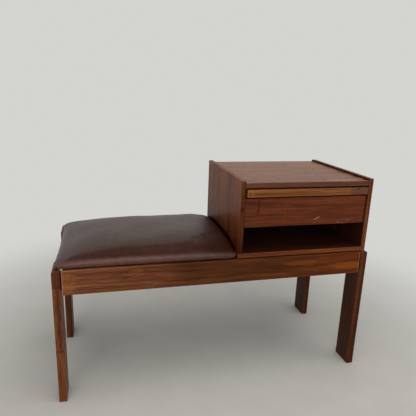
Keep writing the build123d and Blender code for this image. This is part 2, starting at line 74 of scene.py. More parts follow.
def board_mesh(name, run, start, end, ease, stations):
    """A board: an outline carried along one axis, with a rolled edge at both ends.

    stations are (place along the run, points, normals). On the first and the last, the outline
    moves out by ease * sin(a) and draws in by ease * (1 - cos(a)) as a goes from 0 to a quarter
    turn, and a flat cap closes it.
    """
    roll = np.linspace(0, pi / 2, 5)
    _, points, normals = stations[0]
    rings = []
    for a in roll[::-1]:
        rings.append((start + ease * (1 - sin(a)), points, normals, ease * (1 - cos(a)), -sin(a)))
    for place, points, normals in stations[1:-1]:
        rings.append((place, points, normals, 0.0, 0.0))
    _, points, normals = stations[-1]
    for a in roll:
        rings.append((end - ease * (1 - sin(a)), points, normals, ease * (1 - cos(a)), sin(a)))
    across = [(run + 1) % 3, (run + 2) % 3]
    count = len(points)
    places = np.empty((len(rings), count, 3))
    facing = np.empty((len(rings), count, 3))
    for ring, (place, points, normals, inset, lean) in enumerate(rings):
        places[ring][:, run] = place
        places[ring][:, across] = points - inset * normals
        facing[ring][:, run] = lean
        facing[ring][:, across] = normals * (1 - lean**2) ** 0.5
    index = np.arange(len(rings) * count).reshape(len(rings), count)
    following = np.roll(index, -1, axis=1)
    quads = np.stack([index[:-1], following[:-1], following[1:], index[1:]], axis=-1).reshape(-1, 4)
    mesh = bpy.data.meshes.new(name)
    caps = [index[0][::-1].tolist(), index[-1].tolist()]
    mesh.from_pydata(places.reshape(-1, 3).tolist(), [], quads.tolist() + caps)
    mesh.shade_smooth()
    mesh.normals_split_custom_set_from_vertices(facing.reshape(-1, 3).tolist())
    return mesh


def plain_board(name, node, run, ease, rounded=None, radius=0.0):
    """A board in the place of a CAD node: its box, with its ends rolled by ease, its long edges
    turned on long_edge * ease, and the one called rounded, if any, turned on radius.
    """
    low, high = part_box(node)
    i, j = (run + 1) % 3, (run + 2) % 3
    corners = [(low[i], low[j]), (high[i], low[j]), (high[i], high[j]), (low[i], high[j])]
    radii = [radius if corner == rounded else long_edge * ease for corner in range(4)]
    station = (None, *outline(corners, radii))
    return board_mesh(name, run, low[run], high[run], ease, [station, station])


def fit(mesh, material, body, slot, *nodes):
    """Puts a finished piece on its body, in the place of the CAD nodes that it stands for."""
    piece = bpy.data.objects.new(mesh.name, mesh)
    bpy.context.scene.collection.objects.link(piece)
    piece.data.materials.append(material)
    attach(piece, body)
    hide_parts(*nodes)
    return piece


def tone(red, green, blue):
    """A colour as it looks on a screen, 0 to 255, turned into the linear light a shader takes."""
    share = np.array([red, green, blue]) / 255
    linear = np.where(share > 0.04045, ((share + 0.055) / 1.055) ** 2.4, share / 12.92)
    return (*linear.tolist(), 1.0)


class Value:
    """A number on its way through a finish. Arithmetic with it adds Math nodes."""

    def __init__(self, finish, socket):
        self.finish = finish
        self.socket = socket

    def __add__(self, other):
        return self.finish.math("ADD", self, other)

    def __radd__(self, other):
        return self.finish.math("ADD", other, self)

    def __sub__(self, other):
        return self.finish.math("SUBTRACT", self, other)

    def __rsub__(self, other):
        return self.finish.math("SUBTRACT", other, self)

    def __mul__(self, other):
        return self.finish.math("MULTIPLY", self, other)

    def __rmul__(self, other):
        return self.finish.math("MULTIPLY", other, self)

    def __truediv__(self, other):
        return self.finish.math("DIVIDE", self, other)

    def __pow__(self, other):
        return self.finish.math("POWER", self, other)


class Finish:
    """The surface of one piece while it is put together: its colour, roughness and relief."""

    def __init__(self, owner):
        owner.use_nodes = True
        owner.node_tree.nodes.clear()
        self.owner = owner
        place = self.node("ShaderNodeTexCoord", out="Object")
        parted = self.node("ShaderNodeSeparateXYZ", {}, {0: place}, out=None)
        self.place = place
        self.x, self.y, self.z = (Value(self, socket) for socket in parted.outputs)
        self.colour = None
        self.roughness = None
        self.relief = None

    def node(self, kind, settings=None, sockets=None, out=0):
        """Adds any node: its settings first, then the values or links of its sockets."""
        made = self.owner.node_tree.nodes.new(kind)
        for name, value in (settings or {}).items():
            if name == "stops":
                while len(made.color_ramp.elements) < len(value):
                    made.color_ramp.elements.new(0.5)
                for element, (place, colour) in zip(made.color_ramp.elements, value):
                    element.position = place
                    element.color = colour
            else:
                setattr(made, name, value)
        for name, value in (sockets or {}).items():
            if isinstance(value, Value):
                self.owner.node_tree.links.new(value.socket, made.inputs[name])
            else:
                made.inputs[name].default_value = value
        return made if out is None else Value(self, made.outputs[out])

    def math(self, operation, *values):
        """Adds one Math node on the numbers or links given."""
        return self.node("ShaderNodeMath", {"operation": operation}, dict(enumerate(values)))

    def step(self, value, low, high):
        """0 below low, 1 above high and a smooth slope between, also where low is above high."""
        settings = {"interpolation_type": "SMOOTHSTEP"}
        if low > high:
            return 1 - self.node("ShaderNodeMapRange", settings, {0: value, 1: high, 2: low})
        return self.node("ShaderNodeMapRange", settings, {0: value, 1: low, 2: high})

    def between(self, value, low, high, soft):
        """1 between low and high, and a soft slope on both sides."""
        return self.step(value, low - soft, low + soft) * self.step(value, high + soft, high - soft)

    def noise(self, x, y, z, detail=2.0, rough=0.5):
        """Smooth noise from 0 to 1 whose cells are one unit long in the three numbers given."""
        place = self.node("ShaderNodeCombineXYZ", {}, {0: x, 1: y, 2: z})
        sockets = {"Vector": place, "Scale": 1.0, "Detail": detail, "Roughness": rough}
        return self.node("ShaderNodeTexNoise", {}, sockets)

    def speckle(self, fineness, seed=0.0, detail=2.0, rough=0.5):
        """Even noise over the piece, with this many cells to the metre."""
        x, y, z = (here * fineness for here in (self.x, self.y, self.z))
        return self.noise(x, y, z + seed, detail, rough)

    def ramp(self, value, *stops):
        """The colours of the stops, blended by value: each stop is its place and its colour."""
        return self.node("ShaderNodeValToRGB", {"stops": stops}, {0: value})

    def mix(self, share, first, second, how="MIX"):
        """The first colour where share is 0 and the second where it is 1."""
        settings = {"data_type": "RGBA", "blend_type": how}
        return self.node("ShaderNodeMix", settings, {0: share, 6: first, 7: second}, out=2)

    def cover(self, share, colour, roughness=None):
        """Lays a stain, a bloom or a worn place over the colour, and its gloss over the gloss."""
        self.colour = self.mix(share, self.colour, colour)
        if roughness is not None:
            self.roughness = self.roughness + share * (roughness - self.roughness)

    def tint(self, value, low, high, *stops):
        """Multiplies the colour by one that changes with value as it goes from low to high."""
        along = (value - low) * (1 / (high - low))
        self.colour = self.mix(1.0, self.colour, self.ramp(along, *stops), "MULTIPLY")

    def spot(self, middle, size, ragged=0.0, grain=(60.0, 60.0, 60.0)):
        """1 at the middle of an ellipsoid and 0 outside it, with an edge that noise breaks up: a
        step on the sum of the squares of each way from the middle over its half size.
        """
        reach = 0.0
        for here, there, half in zip((self.x, self.y, self.z), middle, size):
            reach = ((here - there) / half) ** 2 + reach
        if ragged:
            broken = self.noise(self.x * grain[0], self.y * grain[1], self.z * grain[2], detail=3.0)
            reach = reach + ragged * (broken - 0.5)
        return self.step(reach, 1.0, 0.25)

    def scratch(self, start, end, width):
        """1 on the line from start to end and 0 farther than width from its nearest point."""
        start, end = np.array(start), np.array(end)
        length = float(np.linalg.norm(end - start))
        way = ((end - start) / length).tolist()
        gone = [here - there for here, there in zip((self.x, self.y, self.z), start.tolist())]
        along = gone[0] * way[0] + gone[1] * way[1] + gone[2] * way[2]
        along = self.math("MINIMUM", self.math("MAXIMUM", along, 0.0), length)
        off = 0.0
        for part, share in zip(gone, way):
            off = (part - along * share) ** 2 + off
        return self.step(off**0.5, width, 0.4 * width)

    def surface(self, relief_depth=0.0002, specular=0.5, metallic=0.0):
        """Joins colour, roughness and relief in one shader."""
        bump = {"Strength": 1.0, "Distance": relief_depth, "Height": self.relief}
        sockets = {
            "Base Color": self.colour,
            "Roughness": self.roughness,
            "Metallic": metallic,
            "Specular IOR Level": specular,
            "Normal": self.node("ShaderNodeBump", {}, bump, out="Normal"),
        }
        return self.node("ShaderNodeBsdfPrincipled", {}, sockets)

    def done(self, **gloss):
        """Closes the material and returns it."""
        self.node("ShaderNodeOutputMaterial", {}, {"Surface": self.surface(**gloss)}, out=None)
        return self.owner


def hardwood(node, grain, tones, seed, tilt=0.0, wave=1.0, wear=1.0, contrast=1.0, gloss=0.40):
    """Oiled and lacquered hardwood, for a board whose grain runs along one axis.

    Three noises drawn out along the grain make broad figure, bands and streaks, about 36, 9 and
    2.4 mm across, on one flow that slopes by tilt and wanders by wave as it goes along the board.
    A fourth makes the pores. The finish has rubbed thin by wear where two faces of the board's box
    meet: there the middle one of the distances to its three pairs of faces is near 0.
    """
    low, high = (np.array(corner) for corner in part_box(node))
    middle, half = (low + high) / 2, (high - low) / 2
    finish = Finish(bpy.data.materials.new(node + "_wood"))
    local = [here - there for here, there in zip((finish.x, finish.y, finish.z), middle.tolist())]
    thin, wide = sorted((axis for axis in range(3) if axis != grain), key=lambda axis: half[axis])
    along, across, through = local[grain], local[wide], local[thin]
    drift = finish.noise(along * 1.6 + seed, across * 5, through * 5, detail=1.0) - 0.5
    flutter = finish.noise(along * 9 + seed, across * 40, through * 40, detail=1.0) - 0.5
    sideways = along * tilt + drift * (0.045 * wave) + flutter * (0.003 * wave)
    across, through = across + sideways, through + sideways * 0.6
    broad = finish.noise(along * 1.5 + seed, across * 28, through * 28, detail=2.0)
    band = finish.noise(along * 3.6, across * 115 + seed, through * 115, detail=3.0, rough=0.65)
    streak = finish.noise(along * 10, across * 420, through * 420 + seed, detail=3.0, rough=0.65)
    pore = finish.noise(along * 70, across * 1250 + seed, through * 1250, detail=1.0)
    pore = finish.step(pore, 0.60, 0.72)
    figured = broad * 0.26 + band * 0.38 + streak * 0.36
    dark, deep, main, light = tones
    spread = 1 / contrast
    stops = ((0.5 - 0.13 * spread, dark), (0.5 - 0.04 * spread, deep), (0.5 + 0.04 * spread, main))
    finish.colour = finish.ramp(figured, *stops, (0.5 + 0.14 * spread, light))
    finish.colour = finish.mix(pore * (0.5 * contrast), finish.colour, dark)
    finish.roughness = gloss + (broad - 0.5) * 0.25 + pore * 0.15
    near = [half[axis] - finish.math("ABSOLUTE", local[axis]) for axis in range(3)]
    nearest = finish.math("MINIMUM", finish.math("MINIMUM", near[0], near[1]), near[2])
    farthest = finish.math("MAXIMUM", finish.math("MAXIMUM", near[0], near[1]), near[2])
    edge = near[0] + near[1] + near[2] - nearest - farthest
    rub = finish.speckle(60, seed, detail=3.0, rough=0.7)
    rubbed = finish.step(edge + (rub - 0.5) * 0.004, 0.0022, 0.0004) * (0.45 * wear)
    finish.cover(rubbed, light, 0.55)
    finish.relief = streak * 0.3 + band * 0.2 - pore * 0.6
    finish.streak = streak
    return finish


wood_specular = 0.10
leg_ease = 0.0012
leg_round = 0.008
joint_width = 0.0022
leg_tones = {
    "front_left": (tone(44, 20, 9), tone(74, 38, 20), tone(98, 54, 29), tone(124, 74, 43)),
    "front_right": (tone(36, 14, 3), tone(60, 25, 6), tone(80, 37, 11), tone(104, 54, 20)),
    "rear_left": (tone(44, 20, 9), tone(74, 40, 24), tone(96, 56, 36), tone(120, 74, 50)),
    "rear_right": (tone(30, 11, 3), tone(50, 21, 6), tone(68, 31, 10), tone(90, 46, 18)),
}
for seed, (place, tones) in enumerate(leg_tones.items()):
    node = "leg_" + place
    low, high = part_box(node)
    face = low[1]
    outer_top = 1 if "left" in place else 2
    plank = plain_board(node + "_plank", node, 1, leg_ease, outer_top, leg_round)
    wood = hardwood(node, 2, tones, 11.0 + 7 * seed, tilt=0.03)
    if place == "front_left":
        # A darker length above the upper joint line, a paler one below the lower, and two veins.
        wood.cover(wood.step(wood.z, 0.3785, 0.3800) * 0.55, tone(62, 28, 17))
        joint = wood.scratch((low[0], face, 0.3790), (high[0], face, 0.3785), joint_width)
        wood.cover(joint * 0.8, tone(34, 12, 8))
        wood.cover(wood.step(wood.z, 0.176, 0.171) * 0.45, tone(112, 62, 30))
        joint = wood.scratch((low[0], face, 0.1735), (high[0], face, 0.1735), joint_width)
        wood.cover(joint * 0.8, tone(36, 14, 8))
        vein = wood.spot((-0.491, face, 0.10), (0.0022, 0.01, 0.07), 0.6)
        wood.cover(vein * 0.5, tone(52, 24, 12))
        vein = wood.spot((-0.484, face, 0.26), (0.0020, 0.01, 0.09), 0.6)
        wood.cover(vein * 0.5, tone(48, 22, 12))
    if "right" in place:
        # The inner faces are darkened: painted shade under the seat.
        wood.cover(wood.step(wood.x, low[0] + 0.0006, low[0] + 0.0002) * 0.45, tone(30, 14, 7))
    # A darker streak runs up the outer edge of one leg and the inner edge of another.
    if place == "front_right":
        wood.cover(wood.step(wood.x + wood.streak * 0.006, 0.4900, 0.4925) * 0.5, tone(44, 20, 10))
    if place == "rear_left":
        wood.cover(wood.step(wood.x + wood.streak * 0.004, -0.4815, -0.4795) * 0.6, tone(60, 22, 12))
    fit(plank, wood.done(specular=wood_specular), "bench", "leg_wood", node)


# ------------------------------------------------------------------------------ long rails
# Two planks on edge between the legs, of the same hardwood with a livelier orange figure. Their
# edges are eased, they stop just short of the legs, and the cross pieces are dowelled to them.
rail_ease = 0.0010
rail_tones = (tone(66, 32, 15), tone(92, 50, 28), tone(118, 70, 42), tone(146, 94, 58))
# Paler and greyer at the left end, deeper and more orange towards the right.
rail_tint_along = (
    (0.0, (0.92, 0.92, 1.0, 1)),
    (0.25, (0.74, 0.69, 0.59, 1)),
    (0.38, (0.37, 0.31, 0.14, 1)),
    (0.68, (0.40, 0.31, 0.11, 1)),
    (0.85, (0.56, 0.36, 0.06, 1)),
    (1.0, (0.62, 0.36, 0.02, 1)),
)
for seed, node in enumerate(("front_rail", "rear_rail")):
    low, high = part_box(node)
    wood = hardwood(node, 0, rail_tones, 3.0 + 9 * seed, tilt=0.010)
    wood.tint(wood.x, low[0], high[0], *rail_tint_along)
    line = wood.noise(wood.x * 9, wood.y * 60, (wood.z - wood.x * 0.012) * 850 + seed, detail=2.0)
    wood.cover(wood.step(line, 0.54, 0.66) * 0.38, tone(40, 18, 8))
    wood.cover(wood.step(line, 0.45, 0.34) * 0.22, tone(120, 70, 26))
    if node == "front_rail":
        face = low[1]
        # Slanting grain round a clear patch, under the middle of the seat.
        slant = wood.noise((wood.z - wood.x * 0.33) * 230, wood.x * 8, 0.0, detail=2.0)
        slanted = wood.spot((-0.285, face, 0.404), (0.085, 0.02, 0.030), 0.9)
        slant = wood.step(slant, 0.50, 0.62) * slanted
        clear = wood.spot((-0.266, face, 0.408), (0.030, 0.02, 0.022), 1.6, (40.0, 60.0, 260.0))
        wood.cover(clear * 0.22, tone(130, 78, 38))
        wood.cover(slant * 0.50, tone(58, 28, 12))
        # Pale flecks, two dark ticks and three reddish streaks at the left end.
        clear = wood.spot((-0.468, face, 0.392), (0.040, 0.02, 0.050), 2.2, (14.0, 60.0, 320.0))
        fleck = wood.noise(wood.x * 260, wood.y * 60, wood.z * 160, detail=2.0)
        wood.cover(clear * (wood.step(fleck, 0.35, 0.65) * 0.5), tone(146, 86, 36))
        for x in (-0.452, -0.447):
            mark = wood.scratch((x, face, 0.392), (x + 0.0008, face, 0.410), 0.0010)
            wood.cover(mark * 0.55, tone(62, 26, 14))
        for x, z, length in ((-0.400, 0.3600, 0.050), (-0.372, 0.3665, 0.030), (-0.418, 0.3720, 0.024)):
            mark = wood.spot((x, face, z), (length, 0.02, 0.0022), 0.7, (30.0, 60.0, 500.0))
            wood.cover(mark * 0.65, tone(74, 26, 14))
        # A dark flame over a lighter one, a glowing patch and slanting streaks under the cabinet.
        flame = wood.spot((0.262, face, 0.403), (0.075, 0.02, 0.010), 0.8, (20.0, 60.0, 90.0))
        wood.cover(flame * 0.5, tone(112, 60, 20))
        flame = wood.spot((0.256, face, 0.4175), (0.078, 0.02, 0.0075), 1.0, (24.0, 60.0, 260.0))
        wood.cover(flame * 0.7, tone(56, 24, 10))
        glow = wood.spot((0.430, face, 0.383), (0.070, 0.02, 0.016), 2.0, (18.0, 60.0, 220.0))
        wood.cover(glow * 0.5, tone(134, 70, 18))
        slant = wood.noise((wood.z - wood.x * 0.17) * 210, wood.x * 7, 5.0, detail=2.0)
        slant = wood.step(slant, 0.50, 0.60) * wood.step(wood.x, 0.20, 0.27)
        wood.cover(slant * 0.40, tone(56, 25, 8))
        for x, z, length in ((0.438, 0.4000, 0.026), (0.423, 0.3655, 0.020), (0.330, 0.3900, 0.030)):
            mark = wood.spot((x, face, z), (length, 0.02, 0.0028), 0.8, (30.0, 60.0, 400.0))
            wood.cover(mark * 0.6, tone(50, 22, 10))
        # A redder lower edge, and a painted pale grey highlight along each eased end.
        wood.cover(wood.step(wood.z, 0.3620, 0.3560) * 0.30, tone(92, 36, 20))
        ends = wood.step(wood.math("ABSOLUTE", wood.x), 0.4700, 0.4718)
        wood.cover(ends * 0.45, tone(150, 128, 122), 0.6)
    rail = plain_board(node + "_plank", node, 0, rail_ease)
    fit(rail, wood.done(specular=wood_specular), "bench", "rail_wood", node)


# ------------------------------------------------------------------------------ cross pieces
# Two end rails that carry the legs and three flat bearers, all dowelled between the long rails,
# and four thin spacer strips held by the screws through them. Softwood, stained dark, unpolished.
def dress(node, material):
    """Gives a CAD node its finish."""
    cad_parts[node].data.materials.clear()
    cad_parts[node].data.materials.append(material)


cross_tones = (tone(26, 15, 10), tone(42, 25, 16), tone(58, 36, 23), tone(78, 50, 33))
cross_pieces = (
    "end_rail_left",
    "end_rail_right",
    "bearer_left",
    "bearer_middle",
    "bearer_right",
    "seat_spacer_left",
    "seat_spacer_right",
    "cabinet_spacer_left",
    "cabinet_spacer_right",
)
for seed, node in enumerate(cross_pieces):
    wood = hardwood(node, 1, cross_tones, 40.0 + 3 * seed, wear=0.4, gloss=0.6)
    dress(node, wood.done(specular=0.2))


# ------------------------------------------------------------------------------ glides
# Two white nylon buttons that carry the seat's outer corners over the legs and the long rails.
# Their outer part is painted dark: painted shade under the leather's edge.
for seed, node in enumerate(("seat_glide_front", "seat_glide_rear")):
    low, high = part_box(node)
    nylon = Finish(bpy.data.materials.new(node + "_nylon"))
    scuff = nylon.speckle(300, seed, detail=3.0)
    nylon.colour = nylon.ramp(scuff, (0.35, tone(176, 170, 158)), (0.6, tone(216, 212, 202)))
    nylon.roughness = 0.35 + scuff * 0.3
    shaded = low[0] + 0.55 * (high[0] - low[0])
    nylon.cover(nylon.step(nylon.x, shaded + 0.001, shaded - 0.001) * 0.85, tone(40, 32, 26))
    nylon.relief = scuff
    dress(node, nylon.done(relief_depth=0.0001))


# ------------------------------------------------------------------------------ fasteners
# Steel screws, pins and staples, dull from age and lightly rusted, and the bare beech dowels and
# pegs of the frame, the case and the writing slide. All are driven or glued into the boards.
steel_nodes = (
    "leg_screws",
    "seat_screws",
    "cabinet_screws",
    "runner_screws",
    "back_pins",
    "drawer_pins",
    "seat_staples",
)
for seed, node in enumerate(steel_nodes):
    steel = Finish(bpy.data.materials.new(node + "_steel"))
    turned = steel.speckle(900, seed)
    rust = steel.step(steel.speckle(120, seed, detail=4.0), 0.52, 0.70)
    steel.colour = steel.ramp(turned, (0.3, tone(120, 118, 114)), (0.7, tone(168, 166, 160)))
    steel.roughness = 0.32 + turned * 0.15
    steel.cover(rust * 0.6, tone(92, 58, 38), 0.75)
    steel.relief = turned * 0.4 + rust
    dress(node, steel.done(relief_depth=0.00005, metallic=1 - rust * 0.8))

beech_tones = (tone(120, 86, 54), tone(160, 120, 80), tone(186, 148, 106), tone(204, 170, 128))
for node, grain in (("frame_dowels", 1), ("cabinet_dowels", 2), ("slide_stop_pegs", 2)):
    wood = hardwood(node, grain, beech_tones, 5.0, wear=0.0, gloss=0.6)
    dress(node, wood.done(specular=0.3))


# ------------------------------------------------------------------------------ seat board
# A plywood board, seen only from underneath inside the cut edge of the leather. The thin boards
# of the cabinet's back and the drawer's bottom are the same ply.
ply_tones = (tone(112, 78, 48), tone(142, 103, 66), tone(166, 126, 84), tone(186, 148, 104))
for seed, node in enumerate(("seat_board", "cabinet_back", "drawer_bottom")):
    wood = hardwood(node, 0, ply_tones, 21.0 + 5 * seed, wave=2.0, wear=0.2, gloss=0.55)
    dress(node, wood.done(specular=0.25))


# ------------------------------------------------------------------------------ seat
# A foam pad on that board under brown leather. The leather is drawn over the edges, pleated at
# the corners and stapled underneath, so the pad is crowned and its long sides pull in.
# A form is the two powers of shoulder(), a reach is how far the skin is pulled or pressed out.
seat_low, seat_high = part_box("seat_cover")
seat_middle = (seat_low + seat_high) / 2
seat_half_x = (seat_high[0] - seat_low[0]) / 2
seat_half_y = 0.200
seat_edge = seat_low[2] + 0.010
seat_crown = seat_high[2] - seat_edge
seat_corner = 0.014
seat_pull = 0.0015
seat_tuck = 0.003
seat_flap = 0.075
seat_slack = 0.002
outer_form = (3, 0.58)
cabinet_form = (6, 0.22)
side_form = (3, 0.43)
front_drawn = 0.45
corner_reach = 0.006
cabinet_reach = 0.004
coarse_cell = 0.010
fine_cell = 0.0023
foam_pressure = 4.0
foam_steps = 20


def pad_side(u):
    """Half the pad's depth at share u of its half length: the corners' quarter circles, less a
    pull of (1 - u^2) along the side.
    """
    from_end = seat_half_x * (1 - np.abs(u))
    corner = seat_corner - np.sqrt(seat_corner**2 - np.clip(seat_corner - from_end, 0, None) ** 2)
    return seat_half_y - corner - seat_pull * (1 - u**2)


def shoulder(share, form):
    """(1 - share^a)^b for a form of (a, b): 1 in the middle of the pad and 0 at its edge. A low b
    stands square, and a high b is drawn down.
    """
    return (1 - np.abs(share) ** form[0]).clip(0) ** form[1]


def pad_rise(u, v):
    """Height over the edge: lengthwise times across, and a little more towards the cabinet.

    The pad stands square beside the cabinet. Its leather is drawn down at the outer end and, by
    front_drawn, at the front corner beside the cabinet.
    """
    lengthwise = np.where(u < 0, shoulder(u, outer_form), shoulder(u, cabinet_form))
    drawn = side_form[1] + front_drawn * ((u - 0.5) / 0.5).clip(0, 1) ** 2 * (v < 0)
    return seat_crown * (1 + 0.05 * u) * lengthwise * shoulder(v, (side_form[0], drawn))


def even_shares(half, low_form, high_form, cell):
    """Shares from -1 to 1 that cut one profile of the pad into lengths of about one cell."""
    share = np.sin(np.linspace(-pi / 2, pi / 2, 4001))
    height = seat_crown * np.where(share < 0, shoulder(share, low_form), shoulder(share, high_form))
    steps = np.hypot(np.diff(half * share), np.diff(height))
    length = np.concatenate([[0.0], np.cumsum(steps)])
    return np.interp(np.linspace(0, length[-1], round(length[-1] / cell) + 1), length, share)


def pad_cover(name, cell, slack):
    """The leather as one closed skin, with the shares that its top is cut at.

    Its top is a grid of shares u and v at x = half length * u, y = pad_side(u) * v and a height of
    pad_rise. From its border, rings follow the drawn-in foot, run in under the board and close
    flat. The top stands lower by slack and narrower by 0.4 slack, to be filled out. The outer front
    corner and the end beside the cabinet are pulled out by their reach, which grows with the square
    of the share.
    """
    share_u = even_shares(seat_half_x, outer_form, cabinet_form, cell)
    share_v = even_shares(seat_half_y, side_form, side_form, cell)
    u, v = np.meshgrid(share_u, share_v, indexing="ij")
    rise = pad_rise(u, v) * (1 - slack / seat_crown)
    pulled = corner_reach * ((-u - 0.8) / 0.2).clip(0, 1) ** 2 * ((-v - 0.1) / 0.9).clip(0, 1) ** 2
    pulled = pulled - cabinet_reach * ((u - 0.7) / 0.3).clip(0, 1) ** 2
    x = (seat_half_x - slack * 0.4) * u - pulled
    y = (pad_side(u) - slack * 0.4) * v
    top = np.stack([x, y, seat_edge + rise], -1)
    index = np.arange(u.size).reshape(u.shape)
    loop = np.concatenate([index[:-1, 0], index[-1, :-1], index[:0:-1, -1], index[0, :0:-1]])
    rim = top.reshape(-1, 3)[loop]
    border = np.stack([u.ravel()[loop], v.ravel()[loop]], 1)
    inward = -border * (np.abs(border) > 0.9999)
    inward /= np.linalg.norm(inward, axis=1)[:, None]
    drop = np.array([0.25, 0.5, 0.75, 1.0])[:, None]
    foot = np.repeat(rim[None], len(drop), axis=0)
    foot[:, :, :2] += inward * seat_tuck * drop[:, :, None] ** 1.6
    foot[:, :, 2] = seat_edge - (seat_edge - seat_low[2]) * drop
    run_in = np.array([0.03, 0.1, 0.4, 0.7, 1.0])[:, None, None]
    under = np.repeat(foot[-1:], len(run_in), axis=0)
    under[:, :, :2] += inward * seat_flap * run_in
    rings = np.concatenate([foot, under])
    vertices = np.concatenate([top.reshape(-1, 3), rings.reshape(-1, 3)])
    vertices[:, :2] += np.array(seat_middle)[:2]
    quads = np.stack([index[:-1, :-1], index[1:, :-1], index[1:, 1:], index[:-1, 1:]], -1).reshape(-1, 4)
    rows = np.arange(u.size, len(vertices)).reshape(len(rings), len(loop))
    rows = np.concatenate([loop[None], rows])
    following = np.roll(rows, -1, axis=1)
    skirt = np.stack([rows[:-1], rows[1:], following[1:], following[:-1]], -1).reshape(-1, 4)
    closing = rows[-1:, ::-1]
    mesh = bpy.data.meshes.new(name)
    mesh.from_pydata(vertices.tolist(), [], quads.tolist() + skirt.tolist() + closing.tolist())
    return mesh, share_u, share_v


def read_points(mesh, what="co"):
    """The places or normals of a mesh's points, one row each."""
    flat = np.empty(len(mesh.vertices) * 3)
    mesh.vertices.foreach_get(what, flat)
    return flat.reshape(-1, 3)


def finished(piece):
    """The mesh that a piece's modifiers make."""
    evaluated = piece.evaluated_get(bpy.context.evaluated_depsgraph_get())
    return bpy.data.meshes.new_from_object(evaluated)


def press_out(reach):
    """How far the foam presses the skin out, at the shares that a coarse skin's top is cut at.

    The coarse skin is simulated as cloth with air pressed into it, while its foot is held. A
    point's press is its way along its normal, way . normal, cut off at 0 and at reach.
    """
    skin, share_u, share_v = pad_cover("pad_to_fill", coarse_cell, reach)
    pad = bpy.data.objects.new("pad_to_fill", skin)
    bpy.context.scene.collection.objects.link(pad)
    start, facing = read_points(skin), read_points(skin, "normal")
    held = pad.vertex_groups.new(name="held")
    held.add(np.flatnonzero(start[:, 2] < seat_edge + 0.002).tolist(), 1.0, "REPLACE")
    cloth = pad.modifiers.new("foam", "CLOTH").settings
    cloth.quality = 4
    cloth.mass = 0.3
    cloth.use_pressure = True
    cloth.uniform_pressure_force = foam_pressure
    cloth.vertex_group_mass = "held"
    cloth.effector_weights.gravity = 0.0
    for frame_number in range(1, foam_steps + 1):
        bpy.context.scene.frame_set(frame_number)
    press = ((read_points(finished(pad)) - start) * facing).sum(axis=1).clip(0, reach)
    bpy.context.scene.frame_set(1)
    bpy.data.objects.remove(pad)
    on_top = press[: share_u.size * share_v.size]
    return on_top.reshape(share_u.size, share_v.size), share_u, share_v


def nearby(shares, cut):
    """Weights that carry values from the cut shares to others: 1 on a cut, and falling straight to
    0 at the next one.
    """
    place = np.interp(shares, cut, np.arange(len(cut)))
    return (1 - np.abs(place[:, None] - np.arange(len(cut)))).clip(0, 1)


def fill_out(reach):
    """The fine skin, stood out along its normals by the press of the coarse one."""
    skin, share_u, share_v = pad_cover("seat_cushion", fine_cell, reach)
    press = np.full((share_u.size, share_v.size), reach)
    coarse, cut_u, cut_v = press_out(reach)
    press = nearby(share_u, cut_u) @ coarse @ nearby(share_v, cut_v).T
    places, facing = read_points(skin), read_points(skin, "normal")
    places[: press.size] += facing[: press.size] * press.reshape(-1, 1)
    skin.vertices.foreach_set("co", places.ravel())
    skin.update()
    return skin


pleat_turns = (-24, 0, 22)
pleat_width = 7
pleat_depth = 0.0016
pleat_inset = 0.030
staple_pitch = 0.055
staple_depth = 0.0004
crease_x = -0.283
crease_depth = 0.0009
wave_height = 0.00035


def gather(mesh):
    """Presses the folds into the leather, each along its point's normal.

    Pleats: at each corner three grooves, exp(-((turn - pleat turn) / pleat width)^2), in degrees
    round a point inside it. Staples: a ripple of cos(2 pi along / staple pitch) near the foot. One
    crease, a groove with a ridge of half its depth beside it, stands in the front. The top rolls by
    three slow waves. Inside the flap's cut edge the skin lies flat under the board.
    """
    places, facing = read_points(mesh), read_points(mesh, "normal")
    x, y, z = places.T
    push = np.zeros(len(places))
    foot = ((0.460 - z) / 0.024).clip(0, 1)
    foot = foot**2 * (3 - 2 * foot)
    for end in (-1, 1):
        for side in (-1, 1):
            from_x = (x - seat_middle[0]) * end - (seat_half_x - pleat_inset)
            from_y = (y - seat_middle[1]) * side - (seat_half_y - pleat_inset)
            turn = np.degrees(np.arctan2(from_y, from_x)) - 45
            near = (from_x > -0.01) & (from_y > -0.01)
            for fold in pleat_turns:
                push -= pleat_depth * near * foot * np.exp(-(((turn - fold) / pleat_width) ** 2))
            push += 0.0006 * near * foot
    ripple = np.cos(2 * pi * x / staple_pitch) * np.abs(facing[:, 1])
    ripple += np.cos(2 * pi * y / staple_pitch) * np.abs(facing[:, 0])
    push -= staple_depth * ripple * ((0.452 - z) / 0.016).clip(0, 1)
    off = x - crease_x + (z - 0.45) * 0.08
    front = (y < -0.17) & (z > 0.436)
    tall = ((0.476 - z) / 0.02).clip(0, 1)
    crease = np.exp(-((off / 0.0035) ** 2)) - 0.5 * np.exp(-(((off - 0.008) / 0.005) ** 2))
    push -= crease_depth * front * tall * crease
    top = (facing[:, 2].clip(0, 1)) ** 2
    waves = np.sin(31 * x + 17 * y + 0.7) + np.sin(-22 * x + 43 * y + 2.1) + np.sin(57 * x - 9 * y + 4.0)
    push += wave_height * waves * top
    places += facing * push[:, None]
    inside_x = seat_half_x - seat_tuck - seat_flap - np.abs(x - seat_middle[0])
    inside_y = seat_half_y - seat_tuck - seat_flap - np.abs(y - seat_middle[1])
    bare = (facing[:, 2] < -0.5) & (np.minimum(inside_x, inside_y) > 0)
    places[bare, 2] = seat_low[2] + 0.003
    mesh.vertices.foreach_set("co", places.ravel())
    mesh.update()
    mesh.shade_smooth()
    return mesh


cushion_mesh = gather(fill_out(seat_slack))

